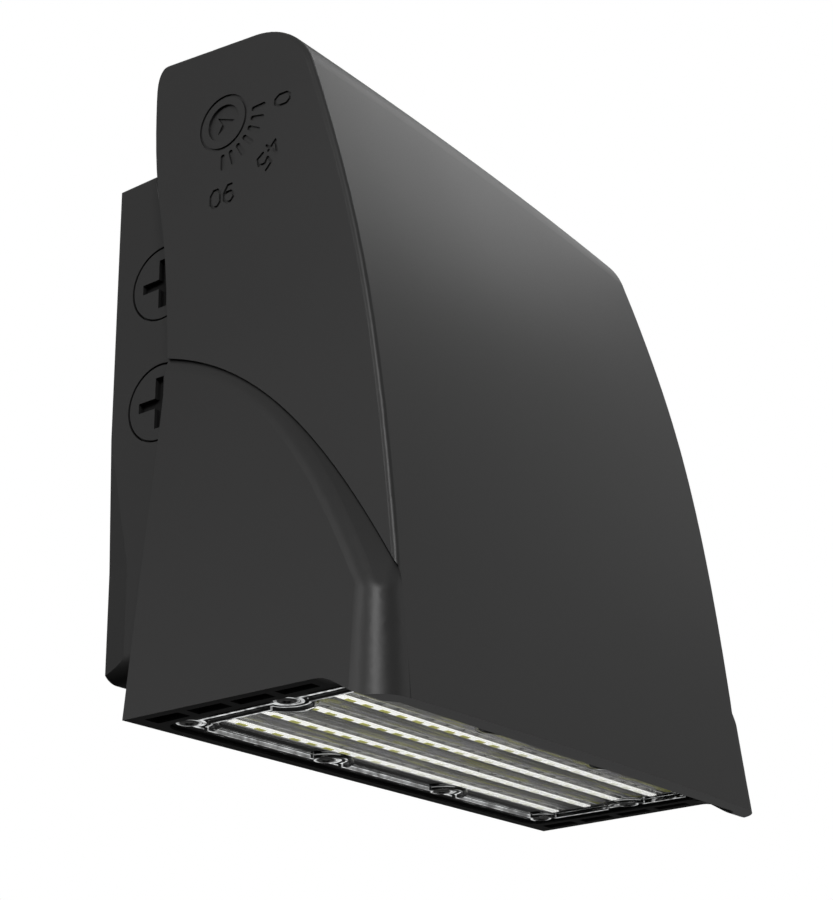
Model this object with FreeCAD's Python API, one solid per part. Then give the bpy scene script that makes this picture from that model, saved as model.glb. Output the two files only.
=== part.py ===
import FreeCAD, Part
import math
import os

V = FreeCAD.Vector

# Adjustable full-cutoff wall light: a box on the wall and a tilting lamp head.
# Millimetres. X runs to the right seen from the front, Y towards the wall,
# Z up. The wall face is y = 0. Heights are drawn from the lamp's bottom rim
# and lowered by MOUNT_Z on export, so the wall mount's centre is the origin.

# ---- wall box
MOUNT_Z = 104.0
BOX_HALF_W = 85.0
BOX_BOTTOM = 21.0
BOX_TOP = 187.0
BOX_DEPTH = 34.0
BOX_WALL = 3.0
BOX_EDGE_R = 6.5
BOX_HEEL_IN = 1.6
BOX_HEEL_DEPTH = 9.0
BOX_HEEL_Z = 55.0
BOX_HEEL_END_Z = 106.0
BOX_GASKET_T = 1.0
BOX_COVER_T = 3.0
BOX_COVER_INSET = 5.6
BOX_COVER_FOOT = 4.0
BOX_COVER_HEAD = 4.3
BOX_COVER_LAP = 6.4
BOX_COVER_R = 3.0
BOX_SCREW_INSET = 3.2
WALL_GASKET_W = 5.0
WALL_GASKET_T = 1.2
WALL_GASKET_INSET = 2.6
BOLT_PITCH_X = 100.0
BOLT_PITCH_Z = 90.0
BOLT_HOLE_D = 5.5
WIRE_ENTRY_D = 22.0

# ---- tilt pivot
PIVOT_Y = -52.7
PIVOT_Z = 188.2
TILT_BAY_R = 37.0
EAR_T = 4.0
EAR_R = 13.0
EAR_FOOT_Z = 130.0
EAR_TOP_OUT = 25.0
EAR_TOP_DROP = 16.0
EAR_ROOT_DROP = 8.0
HUB_FLANGE_R = 10.0
HUB_FLANGE_T = 2.5
HUB_R = 6.2
HUB_RECESS = 0.8
HUB_SHANK_R = 5.0
HUB_FLAT = 4.0
HUB_NUT_T = 3.6
HUB_NUT_AF = 15.0
HUB_SHANK_OUT = 1.0
HUB_RUNNING = 0.05
WASHER_R = 12.0
WASHER_T = 0.8
WASHER_PLAY = 0.05
KEY_PLAY = 0.1

# ---- dial
DIAL_RING_R = 9.3
DIAL_RING_W = 0.9
DIAL_TICK_R0 = 12.4
DIAL_TICK_R1 = 16.4
DIAL_TICK_W = 1.7
DIAL_STEP = 15.0
DIAL_DEPTH = 0.6
DIGIT_H = 5.9
DIGIT_W = 3.9
DIGIT_STROKE = 0.9
DIGIT_GAP = 1.5
DIGIT_OUT = 26.3
DIGIT_ZERO_OUT = 24.0
DIGIT_ZERO_TURN = 3.0
ARROW_TIP = 4.0
ARROW_TAIL = 3.0
ARROW_HALF = 3.1
ARROW_NOTCH = 1.2
ARROW_DEPTH = 0.6

# ---- lamp head: shield and cheeks
CHEEK_GAP = 6.1
CHEEK_WALL = 3.0
SHIELD_WALL = 3.0
SHIELD_BOW = 2.2
SHIELD_EDGE_R = 1.6
CROWN_R = 27.0
TOP_REAR_Z = 220.4
TOP_REAR_Y = -28.7
TOP_SLOPE = 0.1195
TOP_REAR_RUN = 6.5
TOP_REAR_FALL = 13.0
TOP_WALL_END_Y = -38.0
# shield face in the cheek's plane, as (y, z), bottom to top
SHIELD_FACE = [(-118.6, -12.0), (-117.7, 0.0), (-114.9, 42.0),
               (-111.2, 84.0), (-105.5, 124.0), (-96.4, 165.0)]
SHIELD_TOP_Y = -86.6
SHIELD_TOP_DROP = 20.4
SHIELD_TOP_LEAN = 0.304
SHIELD_FOOT_LEAN = 0.0665
# rear edge of the cheeks, as (y, z), top to bottom
REAR_EDGE = [(-24.0, TOP_REAR_Z - 30.4), (-25.4, TOP_REAR_Z - 45.4), (-28.2, TOP_REAR_Z - 62.4),
             (-30.8, 133.0), (-31.8, 113.0), (-31.6, 60.0), (-31.0, 0.0)]
REAR_KNEE_Y = -23.6

# ---- lamp head: flared lower flanks under the arch
FLANK_SPREAD = 12.3
FLANK_TOE = 0.032
FLANK_TOP_OUT = 0.16
FLANK_REAR_Y = -31.0
FLANK_WALL = 3.2
FLANK_ROOT = 10.1
ARCH = [(-24.1, 115.4), (-66.0, 106.0), (-93.9, 72.7), (-124.7, 11.5)]
ARCH_STEP = 1.3
ARCH_BITE = 0.3
ARCH_SLOPE = 1.2
ARCH_ROUND = 7.0
ARCH_WALL = 5.0
NOSE_PROUD = 0.03
NOSE_LEAST_R = 1.2
NOSE_WRAP = 112.0
NOSE_CREEP = 1.0
NOSE_TIP_Z = 28.0
LIP_DROP = 6.7
LIP_START_Y = -96.0
LIP_END_Y = -111.5
LIP_WALL = 4.0
LIP_INNER_R = 8.0
POCKET_GAP = 3.0
POCKET_TOP = 22.0
POCKET_RIB = 3.0
POCKET_PITCH = 15.0
POCKET_COUNT = 4
POCKET_FIRST_Y = -36.0

# ---- lamp head: optical chamber
FLOOR_Z = 6.8
FLOOR_T = 4.2
LENS_OUT = 0.4
LENS_REAR_INSET = 3.6
LENS_FRONT_INSET = 7.7
LENS_Z = 0.8
LENS_T = 2.4
LENS_CORNER_R = 6.0
LENS_PLAY = 0.4
LENS_GASKET_T = 0.8
LENS_BEAD_INSET = 5.0
LENS_BEAD_W = 1.6
LENS_BEAD_H = 1.0
LENS_LOBE_R = 7.0
LENS_LAP = 7.7
LENS_LAP_REAR = 10.6
LENS_LAP_FRONT = 11.0
WINDOW_CORNER_R = 2.0
LENS_SCREW_INSET = 4.5
LENS_SCREW_REAR_IN = 5.8
LENS_SCREW_FRONT_IN = 5.0
LENS_SCREW_MID_Y = -75.4
LENS_SCREW_HEAD_R = 2.8
LENS_SCREW_HEAD_H = 1.5
LENS_SCREW_SINK = 1.2
LENS_SCREW_R = 1.4
LENS_SCREW_LEN = 5.6
ROW_COUNT = 4
ROW_INSET = 4.4
ROW_PITCH = 12.8
BOARD_INSET = 1.3
BOARD_W = 8.0
BOARD_T = 1.6
CHIP_COUNT = 21
CHIP_PITCH = 7.7
CHIP_W = 3.0
CHIP_L = 4.0
CHIP_T = 0.6
REFLECTOR_T = 1.4
REFLECTOR_SLOT_W = 5.4
REFLECTOR_GAP = 0.2
LEAD_HOLE_R = 2.0

# ---- lamp head: driver bay
BAY_SIDE_GAP = 17.1
BAY_WALL = 2.5
BAY_FROM_BOX = 10.0
BAY_FRAME_T = 3.0
BAY_LAP = 11.0
BAY_LAP_FOOT = 11.0
BAY_LAP_HEAD = 8.5
BAY_GASKET_T = 1.0
BAY_COVER_T = 2.0
BAY_COVER_R = 4.0
BAY_COVER_INSET = 0.6
BAY_COVER_FOOT = 3.0
BAY_COVER_HEAD = 2.0
BAY_SCREW_IN = 6.0
BAY_SCREW_END = 7.0
BAY_BOSS_R = 4.0
BAY_BOSS_LEN = 7.0
DRIVER_SIDE_GAP = 19.0
DRIVER_REAR_Y = -62.0
DRIVER_DEPTH = 33.0
DRIVER_H = 64.0
DRIVER_EDGE = 1.5
DRIVER_TAB_W = 12.0
DRIVER_TAB_L = 14.0
DRIVER_TAB_T = 2.0
DRIVER_SCREW_LEN = 4.6

# ---- small screws, plugs and fittings
M4_R = 1.9
M4_HEAD_R = 3.5
M4_HEAD_H = 1.7
THREAD_PLAY = 0.05
HOLE_PLAY = 0.3
COVER_SCREW_LEN = 4.0
DRIVE_SLOT_W = 1.0
DRIVE_SLOT_DEPTH = 0.8
DRIVE_REACH = 0.62
DRIVE_DOME_R = 0.6
PLUG_FROM_FRONT = 14.1
PLUG_Z = [105.6, 146.9]
PLUG_RECESS_R = 13.0
PLUG_FLANGE_R = 12.3
PLUG_FLANGE_T = 1.7
PLUG_SEAL_T = 0.6
PLUG_SINK = 0.1
PLUG_R = 10.4
PLUG_PLAY = 0.2
PLUG_BOSS_R = 15.0
PLUG_BOSS_LEN = 6.0
PLUG_LEN = 6.5
PLUG_WALL = 2.0
PLUG_SLOT_L = 17.0
PLUG_SLOT_W = 3.4
PLUG_SLOT_DEPTH = 2.0
GROMMET_R = 6.0
GROMMET_LIP = 2.0
GROMMET_LIP_T = 1.2
GROMMET_BORE_R = 3.5
GROMMET_PLAY = 0.1
HEAD_GROMMET_Z = 192.0
HEAD_GROMMET_X = 30.0
BOX_GROMMET_X = -30.0
BOX_GROMMET_Z = 170.0
BLOCK_HALF = 16.0
BLOCK_H = 14.0
BLOCK_DEPTH = 16.0
BLOCK_Z = 158.0
EARTH_X = 34.0
EARTH_Z = 72.0
EARTH_BOSS_R = 5.0
EARTH_BOSS_LEN = 5.0
EARTH_LEN = 6.0

# how far a cut runs past what it cuts
OVER = 60.0

# ---- places that follow from the sizes above
PLUG_Y = PLUG_FROM_FRONT - BOX_DEPTH
BAY_SEAT_Y = -BOX_DEPTH - BAY_FROM_BOX
SHIELD_TOP_Z = TOP_REAR_Z - SHIELD_TOP_DROP
CHEEK_HALF = BOX_HALF_W + CHEEK_GAP + CHEEK_WALL
ARCH_SEAT = CHEEK_HALF - ARCH_STEP
FLANK_HALF = CHEEK_HALF + FLANK_SPREAD
FLANK_FLARE = (FLANK_SPREAD + FLANK_TOE * (ARCH[0][0] - FLANK_REAR_Y) - FLANK_TOP_OUT) / ARCH[0][1]
BOX_COVER_HALF_W = BOX_HALF_W - BOX_COVER_INSET
BOX_OPEN_HALF_W = BOX_COVER_HALF_W - BOX_COVER_LAP
BOX_COVER_Z0 = BOX_BOTTOM + BOX_COVER_FOOT
BOX_COVER_Z1 = PIVOT_Z - math.sqrt(TILT_BAY_R ** 2 - (BOX_DEPTH + PIVOT_Y) ** 2) - BOX_COVER_HEAD
BOX_OPEN_Z0 = BOX_COVER_Z0 + BOX_COVER_LAP
BOX_OPEN_Z1 = BOX_COVER_Z1 - BOX_COVER_LAP
LENS_HALF = CHEEK_HALF + LENS_OUT
LENS_REAR_Y = REAR_EDGE[-1][0] - LENS_REAR_INSET
LENS_FRONT_Y = SHIELD_FACE[1][0] + LENS_FRONT_INSET
LENS_TOP = LENS_Z + LENS_T
LEDGE_Z = LENS_TOP + LENS_GASKET_T
WINDOW_HALF = LENS_HALF - LENS_LAP
WINDOW_REAR_Y = LENS_REAR_Y - LENS_LAP_REAR
WINDOW_FRONT_Y = LENS_FRONT_Y + LENS_LAP_FRONT
LENS_SCREW_OUT = LENS_HALF - LENS_SCREW_INSET
LENS_SCREW_X = [-LENS_SCREW_OUT, -LENS_SCREW_OUT / 3, LENS_SCREW_OUT / 3, LENS_SCREW_OUT]
LENS_SCREW_REAR_Y = LENS_REAR_Y - LENS_SCREW_REAR_IN
LENS_SCREW_FRONT_Y = LENS_FRONT_Y + LENS_SCREW_FRONT_IN
POCKET_HALF = LENS_HALF + POCKET_GAP
BOARD_HALF = WINDOW_HALF - BOARD_INSET
ROWS_Y = [WINDOW_REAR_Y - ROW_INSET - ROW_PITCH * i for i in range(ROW_COUNT)]
FLOOR_TOP = FLOOR_Z + FLOOR_T
BOARD_Z = FLOOR_Z - BOARD_T
BAY_HALF = CHEEK_HALF - CHEEK_WALL - BAY_SIDE_GAP
BAY_OPEN_HALF = BAY_HALF - BAY_LAP
BAY_SCREW_X = BAY_HALF - BAY_SCREW_IN
BAY_COVER_Y = BAY_SEAT_Y + BAY_GASKET_T
BAY_COVER_OUT_Y = BAY_COVER_Y + BAY_COVER_T
BAY_COVER_Z0 = FLOOR_TOP + BAY_COVER_FOOT
BAY_COVER_Z1 = TOP_REAR_Z + TOP_SLOPE * (BAY_SEAT_Y - TOP_REAR_Y) - SHIELD_WALL - BAY_COVER_HEAD
BAY_OPEN_Z0 = BAY_COVER_Z0 + BAY_LAP_FOOT
BAY_OPEN_Z1 = BAY_COVER_Z1 - BAY_LAP_HEAD
BAY_SCREW_Z = [BAY_COVER_Z0 + BAY_SCREW_END, (BAY_COVER_Z0 + BAY_COVER_Z1) / 2,
               BAY_COVER_Z1 - BAY_SCREW_END]
DRIVER_HALF = BAY_HALF - DRIVER_SIDE_GAP
HUB_FLANGE_X = BOX_HALF_W + HUB_FLANGE_T
BOSS_FACE_X = HUB_FLANGE_X + WASHER_T + WASHER_PLAY
HUB_FACE_X = CHEEK_HALF - HUB_RECESS
BOW_LEAN = 2.0 * SHIELD_BOW / CHEEK_HALF


# ---------------------------------------------------------------- helpers
def block(x0, x1, y0, y1, z0, z1):
    return Part.makeBox(x1 - x0, y1 - y0, z1 - z0, V(x0, y0, z0))


def rod_x(r, x0, x1, y, z):
    return Part.makeCylinder(r, x1 - x0, V(x0, y, z), V(1, 0, 0))


def rod_y(r, y0, y1, x, z):
    return Part.makeCylinder(r, y1 - y0, V(x, y0, z), V(0, 1, 0))


def rod_z(r, z0, z1, x, y):
    return Part.makeCylinder(r, z1 - z0, V(x, y, z0), V(0, 0, 1))


def plate_x(points, x0, x1):
    """Prism along X of a closed outline given as (y, z)."""
    outline = [V(x0, y, z) for y, z in points]
    return Part.Face(Part.makePolygon(outline + outline[:1])).extrude(V(x1 - x0, 0, 0))


def plate_z(points, z0, z1):
    """Prism along Z of a closed outline given as (x, y)."""
    outline = [V(x, y, z0) for x, y in points]
    return Part.Face(Part.makePolygon(outline + outline[:1])).extrude(V(0, 0, z1 - z0))


def join(shapes):
    return shapes[0].fuse(shapes[1:]) if len(shapes) > 1 else shapes[0]


def mirrored(shape):
    return shape.mirror(V(0, 0, 0), V(1, 0, 0))


def both(shape):
    return [shape, mirrored(shape)]


def upright_edges(shape):
    """Edges that run parallel to Z."""
    return [e for e in shape.Edges
            if abs(abs(e.tangentAt(e.FirstParameter).z) - 1.0) < 1e-6
            and e.BoundBox.ZLength > 0.99 * e.Length]


def rounded_block(x0, x1, y0, y1, z0, z1, r):
    solid = block(x0, x1, y0, y1, z0, z1)
    return solid.makeFillet(r, upright_edges(solid))


def save(name, shape):
    shape = shape.removeSplitter()
    if shape.ShapeType == "Compound" and len(shape.Solids) == 1:
        shape = shape.Solids[0]
    if len(shape.Solids) != 1 or not shape.isValid():
        raise ValueError(name + " is not one valid solid")
    shape.translate(V(0, 0, -MOUNT_Z))
    shape.exportStep("parts/" + name + ".step")


def pan_screw(head_r, head_h, shank_r, shank_len):
    """Cross-slotted screw: shank along -Z from the origin, head along +Z."""
    head = rod_z(head_r, 0, head_h, 0, 0)
    rim = [e for e in head.Edges if e.BoundBox.ZMin > head_h - 1e-6]
    head = head.makeFillet(DRIVE_DOME_R, rim)
    reach = head_r * DRIVE_REACH
    half = DRIVE_SLOT_W / 2
    z0 = head_h - DRIVE_SLOT_DEPTH
    slots = [block(-reach, reach, -half, half, z0, head_h + 1),
             block(-half, half, -reach, reach, z0, head_h + 1)]
    return head.fuse(rod_z(shank_r, -shank_len, 0, 0, 0)).cut(slots)


def placed(shape, position, axis):
    """Turn a shape drawn along +Z so that it points along axis."""
    moved = shape.copy()
    moved.Placement = FreeCAD.Placement(position, FreeCAD.Rotation(V(0, 0, 1), axis))
    return moved


# ---------------------------------------------------------------- wall box
def bay_edge_y(z, r=TILT_BAY_R):
    """Where the tilt bay's arc about the pivot stands at a height."""
    return PIVOT_Y + math.sqrt(r * r - (z - PIVOT_Z) ** 2)


def bay_edge_z(y, r=TILT_BAY_R):
    return PIVOT_Z - math.sqrt(r * r - (y - PIVOT_Y) ** 2)


def box_profile(wall):
    """Side outline of the box, set in by a wall on every side."""
    r = TILT_BAY_R + wall
    y_front = -BOX_DEPTH + wall
    z_top = BOX_TOP - wall
    a = V(0, bay_edge_y(z_top, r), z_top)
    c = V(0, y_front, bay_edge_z(y_front, r))
    ang = (math.atan2(a.z - PIVOT_Z, a.y - PIVOT_Y)
           + math.atan2(c.z - PIVOT_Z, c.y - PIVOT_Y)) / 2
    b = V(0, PIVOT_Y + r * math.cos(ang), PIVOT_Z + r * math.sin(ang))
    z_low = BOX_BOTTOM + wall
    low_front = V(0, y_front, z_low)
    low_rear = V(0, -wall, z_low)
    top_rear = V(0, -wall, z_top)
    return Part.Wire([Part.Arc(a, b, c).toShape(),
                      Part.makeLine(c, low_front),
                      Part.makeLine(low_front, low_rear),
                      Part.makeLine(low_rear, top_rear),
                      Part.makeLine(top_rear, a)])


def box_body(half_w, wall):
    face = Part.Face(box_profile(wall))
    face.translate(V(-half_w, 0, 0))
    return face.extrude(V(2 * half_w, 0, 0))


def ear():
    """Left arm that carries the pivot, flush with the box's side."""
    x0 = -BOX_HALF_W
    x1 = x0 + EAR_T
    root_y = -BOX_DEPTH / 2 + BOX_WALL
    top = (PIVOT_Y + EAR_TOP_OUT, PIVOT_Z - EAR_TOP_DROP)
    arm = plate_x([top, (root_y, top[1] - EAR_ROOT_DROP), (root_y, EAR_FOOT_Z),
                   (-BOX_DEPTH, EAR_FOOT_Z),
                   (PIVOT_Y - EAR_R * 0.97, PIVOT_Z - EAR_R * 0.24),
                   (PIVOT_Y + EAR_R * 0.5, PIVOT_Z + EAR_R * 0.86)], x0, x1)
    return arm.fuse(rod_x(EAR_R, x0, x1, PIVOT_Y, PIVOT_Z))


def hub_shank(play):
    """Flatted shank of a hub, drawn at the left pivot, with a play all round."""
    r = HUB_SHANK_R + play
    flat = HUB_FLAT + play
    x1 = -BOX_HALF_W + EAR_T + HUB_NUT_T + HUB_SHANK_OUT
    shank = rod_x(r, -HUB_FLANGE_X, x1 + play, PIVOT_Y, PIVOT_Z)
    keep = block(-CHEEK_HALF, 0, PIVOT_Y - r, PIVOT_Y + r, PIVOT_Z - flat, PIVOT_Z + flat)
    return shank.common(keep)


def cover_screw_spots():
    x = BOX_COVER_HALF_W - BOX_SCREW_INSET
    z0 = BOX_COVER_Z0 + BOX_SCREW_INSET
    z1 = BOX_COVER_Z1 - BOX_SCREW_INSET
    return [(-x, z0), (x, z0), (-x, z1), (x, z1)]


def plug_hole(side, z):
    """Room for one conduit plug in the box's side, side -1 or +1."""
    floor_x = BOX_HALF_W - PLUG_SINK - PLUG_FLANGE_T - PLUG_SEAL_T
    hole = rod_x(PLUG_RECESS_R, floor_x, BOX_HALF_W + 5, PLUG_Y, z)
    hole = hole.fuse(rod_x(PLUG_R + PLUG_PLAY, BOX_HALF_W - 20, BOX_HALF_W, PLUG_Y, z))
    return hole if side > 0 else mirrored(hole)


def box_heel():
    """Relief along the lower rear edge of the left side, fading out upwards."""
    slope = BOX_HEEL_DEPTH / BOX_HEEL_IN

    def section(z, shift):
        side = -BOX_HALF_W - 1.0 - shift
        points = [V(side, -BOX_HEEL_DEPTH - slope, z),
                  V(-BOX_HALF_W + BOX_HEEL_IN + 1.0 / slope - shift, 1.0, z), V(side, 1.0, z)]
        return Part.makePolygon(points + points[:1])

    end = BOX_HEEL_IN + 1.0 / slope + 0.1
    straight = Part.makeLoft([section(BOX_BOTTOM - 1.0, 0.0), section(BOX_HEEL_Z, 0.0)], True, True)
    fade = Part.makeLoft([section(BOX_HEEL_Z, 0.0), section(BOX_HEEL_END_Z, end)], True, True)
    return straight.fuse(fade)


def wall_gasket_ring(play):
    """Foam ring let into the back of the box."""
    half = BOX_HALF_W - WALL_GASKET_INSET
    z0 = BOX_BOTTOM + WALL_GASKET_INSET + 2
    z1 = BOX_TOP - WALL_GASKET_INSET
    w = WALL_GASKET_W
    y0 = -WALL_GASKET_T
    outer = block(-half - play, half + play, y0, 0, z0 - play, z1 + play)
    inner = block(-half + w + play, half - w - play, y0 - 1, 1, z0 + w + play, z1 - w - play)
    return outer.cut(inner)


def mounting_box():
    outer = box_body(BOX_HALF_W, 0.0)
    low = [e for e in outer.Edges
           if abs(e.BoundBox.ZMax - BOX_BOTTOM) < 1e-6 and e.BoundBox.YLength > BOX_DEPTH - 1]
    outer = outer.makeFillet(BOX_EDGE_R, low)
    outer = outer.fuse(both(ear())).cut(both(box_heel()))
    cavity = box_body(BOX_HALF_W - BOX_WALL, BOX_WALL)
    opening = block(-BOX_OPEN_HALF_W, BOX_OPEN_HALF_W, -BOX_DEPTH - 1, -BOX_WALL,
                    BOX_OPEN_Z0, BOX_OPEN_Z1)
    keep = []
    for z in PLUG_Z:
        boss = rod_x(PLUG_BOSS_R, -BOX_HALF_W + BOX_WALL - 1,
                     -BOX_HALF_W + BOX_WALL + PLUG_BOSS_LEN, PLUG_Y, z)
        boss = boss.common(block(-BOX_HALF_W, 0, -BOX_DEPTH + 1, -1, BOX_BOTTOM, BOX_TOP))
        keep += both(boss)
    for x, z in cover_screw_spots():
        keep.append(rod_y(M4_HEAD_R + 1.5, -BOX_DEPTH + 1, -BOX_DEPTH + COVER_SCREW_LEN + 2, x, z))
    keep.append(rod_y(EARTH_BOSS_R, -BOX_WALL - EARTH_BOSS_LEN, -BOX_WALL + 1, EARTH_X, EARTH_Z))
    shell = outer.cut(cavity).cut(opening).fuse(keep)
    holes = []
    for z in PLUG_Z:
        holes += [plug_hole(-1, z), plug_hole(1, z)]
    for x, z in cover_screw_spots():
        holes.append(rod_y(M4_R + THREAD_PLAY, -BOX_DEPTH - 1,
                           -BOX_DEPTH + COVER_SCREW_LEN, x, z))
    for sx in (-1, 1):
        for sz in (-1, 1):
            holes.append(rod_y(BOLT_HOLE_D / 2, -BOX_WALL - 1, 1, sx * BOLT_PITCH_X / 2,
                               MOUNT_Z + sz * BOLT_PITCH_Z / 2))
    holes.append(rod_y(WIRE_ENTRY_D / 2, -BOX_WALL - 1, 1, 0, MOUNT_Z))
    holes.append(rod_y(M4_R + THREAD_PLAY, -BOX_WALL - EARTH_BOSS_LEN - 1,
                       -BOX_WALL - EARTH_BOSS_LEN + EARTH_LEN + 0.5, EARTH_X, EARTH_Z))
    holes.append(box_grommet_core(GROMMET_PLAY))
    holes += both(hub_shank(KEY_PLAY))
    return shell.cut(holes).cut(wall_gasket_ring(0.1))


def box_cover():
    y1 = -BOX_DEPTH - BOX_GASKET_T
    y0 = y1 - BOX_COVER_T
    cover = block(-BOX_COVER_HALF_W, BOX_COVER_HALF_W, y0, y1, BOX_COVER_Z0, BOX_COVER_Z1)
    corners = [e for e in cover.Edges if abs(e.BoundBox.YLength - BOX_COVER_T) < 1e-6]
    cover = cover.makeFillet(BOX_COVER_R, corners)
    holes = []
    for x, z in cover_screw_spots():
        holes.append(rod_y(M4_R + HOLE_PLAY, y0 - 1, y1 + 1, x, z))
        holes.append(rod_y(M4_HEAD_R + HOLE_PLAY, y0 - 1, y0 + M4_HEAD_H + 0.1, x, z))
    return cover.cut(holes)


def box_cover_gasket():
    y1 = -BOX_DEPTH
    y0 = y1 - BOX_GASKET_T
    outer = block(-BOX_COVER_HALF_W + 0.5, BOX_COVER_HALF_W - 0.5, y0, y1,
                  BOX_COVER_Z0 + 0.5, BOX_COVER_Z1 - 0.5)
    inner = block(-BOX_OPEN_HALF_W - 0.2, BOX_OPEN_HALF_W + 0.2, y0 - 1, y1 + 1,
                  BOX_OPEN_Z0 - 0.2, BOX_OPEN_Z1 + 0.2)
    holes = [rod_y(M4_R + HOLE_PLAY, y0 - 1, y1 + 1, x, z) for x, z in cover_screw_spots()]
    return outer.cut([inner] + holes)


def box_cover_screw(x, z):
    screw = pan_screw(M4_HEAD_R, M4_HEAD_H, M4_R, COVER_SCREW_LEN + BOX_COVER_T - M4_HEAD_H)
    y = -BOX_DEPTH - BOX_GASKET_T - BOX_COVER_T + M4_HEAD_H + 0.1
    return placed(screw, V(x, y, z), V(0, -1, 0))


def conduit_plug(side, z):
    """Flush plug with a cross slot, drawn on the right and mirrored."""
    face_x = BOX_HALF_W - PLUG_SINK
    back_x = face_x - PLUG_FLANGE_T
    plug = rod_x(PLUG_FLANGE_R, back_x, face_x, PLUG_Y, z)
    plug = plug.fuse(rod_x(PLUG_R, face_x - PLUG_FLANGE_T - PLUG_LEN, back_x, PLUG_Y, z))
    hollow = rod_x(PLUG_R - PLUG_WALL, back_x - PLUG_LEN - 1, back_x - 1.0, PLUG_Y, z)
    x0 = face_x - PLUG_SLOT_DEPTH
    half_l = PLUG_SLOT_L / 2
    half_w = PLUG_SLOT_W / 2
    tall = block(x0, face_x + 1, PLUG_Y - half_w, PLUG_Y + half_w, z - half_l, z + half_l)
    wide = block(x0, face_x + 1, PLUG_Y - half_l, PLUG_Y + half_l, z - half_w, z + half_w)
    plug = plug.cut([hollow, tall, wide])
    return plug if side > 0 else mirrored(plug)


def plug_seal(side, z):
    x1 = BOX_HALF_W - PLUG_SINK - PLUG_FLANGE_T
    ring = rod_x(PLUG_FLANGE_R - 0.2, x1 - PLUG_SEAL_T, x1, PLUG_Y, z)
    ring = ring.cut(rod_x(PLUG_R + PLUG_PLAY, x1 - 5, x1 + 1, PLUG_Y, z))
    return ring if side > 0 else mirrored(ring)


def bay_direction(z):
    """Unit vector from the pivot to the tilt bay's wall at a height."""
    y = bay_edge_y(z)
    return V(0, y - PIVOT_Y, z - PIVOT_Z).normalize()


def box_grommet_core(play):
    d = bay_direction(BOX_GROMMET_Z)
    start = V(BOX_GROMMET_X, PIVOT_Y, PIVOT_Z) + d * (TILT_BAY_R - 3)
    return Part.makeCylinder(GROMMET_R + play, BOX_WALL + 8, start, d)


def box_grommet():
    """Rubber bush in the curved wall of the tilt bay."""
    d = bay_direction(BOX_GROMMET_Z)
    centre = V(BOX_GROMMET_X, PIVOT_Y, PIVOT_Z)
    inner_face = rod_x(TILT_BAY_R, BOX_GROMMET_X - 20, BOX_GROMMET_X + 20, PIVOT_Y, PIVOT_Z)
    lip = Part.makeCylinder(GROMMET_R + GROMMET_LIP, GROMMET_LIP_T + 4,
                            centre + d * (TILT_BAY_R - GROMMET_LIP_T - 1.2), d)
    core = Part.makeCylinder(GROMMET_R, BOX_WALL + GROMMET_LIP_T + 1.2,
                             centre + d * (TILT_BAY_R - 1.4), d)
    bore = Part.makeCylinder(GROMMET_BORE_R, 30, centre + d * (TILT_BAY_R - 15), d)
    return lip.common(inner_face).fuse(core).cut(bore)


def wiring_block():
    body = block(-BLOCK_HALF, BLOCK_HALF, -BOX_WALL - BLOCK_DEPTH, -BOX_WALL,
                 BLOCK_Z - BLOCK_H / 2, BLOCK_Z + BLOCK_H / 2)
    ports = []
    for i in range(3):
        x = (i - 1) * BLOCK_HALF * 0.62
        ports.append(rod_z(2.6, BLOCK_Z - BLOCK_H, BLOCK_Z - 1, x, -BOX_WALL - BLOCK_DEPTH / 2))
        ports.append(rod_y(2.0, -BOX_WALL - BLOCK_DEPTH - 1, -BOX_WALL - BLOCK_DEPTH / 2, x,
                           BLOCK_Z + BLOCK_H / 4))
    return body.cut(ports)


def earth_screw():
    screw = pan_screw(M4_HEAD_R + 0.5, M4_HEAD_H + 0.5, M4_R, EARTH_LEN)
    return placed(screw, V(EARTH_X, -BOX_WALL - EARTH_BOSS_LEN, EARTH_Z), V(0, -1, 0))


# ---------------------------------------------------------------- pivot
def pivot_hub(side):
    """Hub fixed to an ear; its face shows the pointer inside the dial."""
    hub = rod_x(HUB_FLANGE_R, -HUB_FLANGE_X, -BOX_HALF_W, PIVOT_Y, PIVOT_Z)
    hub = hub.fuse([rod_x(HUB_R, -HUB_FACE_X, -HUB_FLANGE_X, PIVOT_Y, PIVOT_Z), hub_shank(0.0)])
    pointer = [(PIVOT_Y - ARROW_TIP, PIVOT_Z), (PIVOT_Y + ARROW_TAIL, PIVOT_Z + ARROW_HALF),
               (PIVOT_Y + ARROW_NOTCH, PIVOT_Z), (PIVOT_Y + ARROW_TAIL, PIVOT_Z - ARROW_HALF)]
    hub = hub.cut(plate_x(pointer, -HUB_FACE_X - 1, -HUB_FACE_X + ARROW_DEPTH))
    return hub if side < 0 else mirrored(hub)


def hub_nut(side):
    x0 = -BOX_HALF_W + EAR_T
    r = HUB_NUT_AF / 2 / math.cos(math.pi / 6)
    pts = [(PIVOT_Y + r * math.cos(math.radians(60 * i)), PIVOT_Z + r * math.sin(math.radians(60 * i)))
           for i in range(6)]
    nut = plate_x(pts, x0, x0 + HUB_NUT_T).cut(hub_shank(THREAD_PLAY))
    return nut if side < 0 else mirrored(nut)


def friction_washer(side):
    ring = rod_x(WASHER_R, -HUB_FLANGE_X - WASHER_T, -HUB_FLANGE_X, PIVOT_Y, PIVOT_Z)
    ring = ring.cut(rod_x(HUB_R + 0.3, -HUB_FLANGE_X - WASHER_T - 1, 0, PIVOT_Y, PIVOT_Z))
    return ring if side < 0 else mirrored(ring)


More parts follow.
